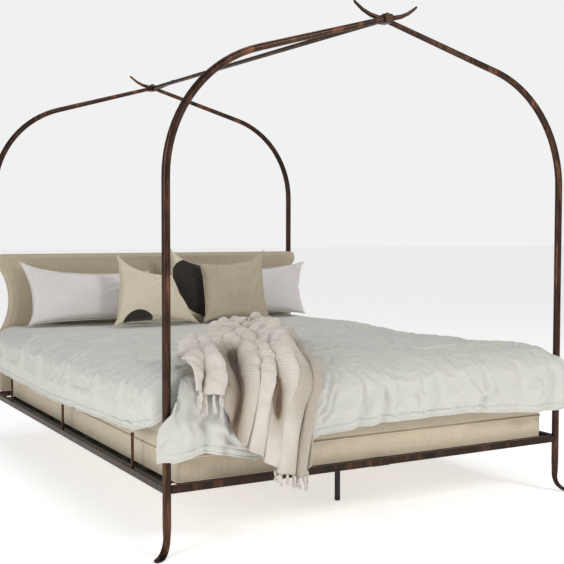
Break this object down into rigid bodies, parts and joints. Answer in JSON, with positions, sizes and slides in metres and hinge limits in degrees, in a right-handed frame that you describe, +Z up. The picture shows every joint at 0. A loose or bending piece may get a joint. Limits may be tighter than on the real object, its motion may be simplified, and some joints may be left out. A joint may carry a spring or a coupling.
{
  "type": "four poster canopy bed",
  "caption": "Bronzed iron four poster bed with crossing ogee arches, a ridge bar, linen headboard and base, mattress and dressed bedding.",
  "frame": {"origin": "on the floor, under the middle of the bed", "axes": "+Z up, +Y from the foot to the head along the bed's length, X across the bed"},
  "size_m": [1.7384, 2.2707, 1.7884],
  "materials": {
    "bronzed_iron": "hand-finished dark bronze with copper rub-through",
    "black_coated_steel": "matt powder coat",
    "dark_steel_fixings": "blackened",
    "black_plastic": "matt",
    "slat_wood": "dark stained ply",
    "board_wood": "bare plywood",
    "natural_linen": "plain woven linen",
    "black_backing_cloth": "thin woven backing",
    "mattress_ticking": "woven cover",
    "white_cotton": "crisp washed percale",
    "cream_linen_print": "cream linen with dark brown geometric print",
    "taupe_linen": "plain taupe linen",
    "cream_knit": "soft knit with tasselled fringe"
  },
  "bodies": {
    "bed": {"post_foot_left": "bronzed_iron", "post_foot_right": "bronzed_iron", "post_head_left": "bronzed_iron", "post_head_right": "bronzed_iron", "arch_foot_left": "bronzed_iron", "arch_foot_right": "bronzed_iron", "arch_head_left": "bronzed_iron", "arch_head_right": "bronzed_iron", "ridge_bar": "bronzed_iron", "crossing_knuckle_foot": "bronzed_iron", "crossing_knuckle_head": "bronzed_iron", "foot_rail": "bronzed_iron", "head_rail": "bronzed_iron", "side_rail_left": "bronzed_iron", "side_rail_right": "bronzed_iron", "mattress_stops_left": "bronzed_iron", "mattress_stops_right": "bronzed_iron", "slat_ledge_left": "black_coated_steel", "slat_ledge_right": "black_coated_steel", "centre_beam": "black_coated_steel", "beam_hanger_foot": "black_coated_steel", "beam_hanger_head": "black_coated_steel", "centre_leg_foot_end": "black_coated_steel", "centre_leg_middle": "black_coated_steel", "centre_leg_head_end": "black_coated_steel", "arch_spigots": "dark_steel_fixings", "crossing_screws": "dark_steel_fixings", "rail_bolts": "dark_steel_fixings", "leveller_inserts": "dark_steel_fixings", "headboard_tee_nuts": "dark_steel_fixings", "headboard_bolts": "dark_steel_fixings", "slat_01": "slat_wood", "slat_02": "slat_wood", "slat_03": "slat_wood", "slat_04": "slat_wood", "slat_05": "slat_wood", "slat_06": "slat_wood", "slat_07": "slat_wood", "slat_08": "slat_wood", "slat_09": "slat_wood", "slat_10": "slat_wood", "slat_11": "slat_wood", "upholstered_base": "natural_linen", "headboard_upholstery": "natural_linen", "headboard_board": "board_wood", "headboard_back_cloth": "black_backing_cloth", "mattress": "mattress_ticking", "duvet": "white_cotton", "pillow_left": "white_cotton", "pillow_right": "white_cotton", "cushion_left": "cream_linen_print", "cushion_back": "cream_linen_print", "cushion_right": "taupe_linen", "throw_blanket": "cream_knit"},
    "leveller_foot_end_body": {"leveller_foot_end": "black_plastic"},
    "leveller_middle_body": {"leveller_middle": "black_plastic"},
    "leveller_head_end_body": {"leveller_head_end": "black_plastic"}
  },
  "joints": [
    {"name": "leveller_foot_end_screw", "type": "slide", "parent": "bed", "child": "leveller_foot_end_body", "axis": [0, 0, 1], "range_m": [-0.012, 0]},
    {"name": "leveller_middle_screw", "type": "slide", "parent": "bed", "child": "leveller_middle_body", "axis": [0, 0, 1], "range_m": [-0.012, 0]},
    {"name": "leveller_head_end_screw", "type": "slide", "parent": "bed", "child": "leveller_head_end_body", "axis": [0, 0, 1], "range_m": [-0.012, 0]}
  ]
}
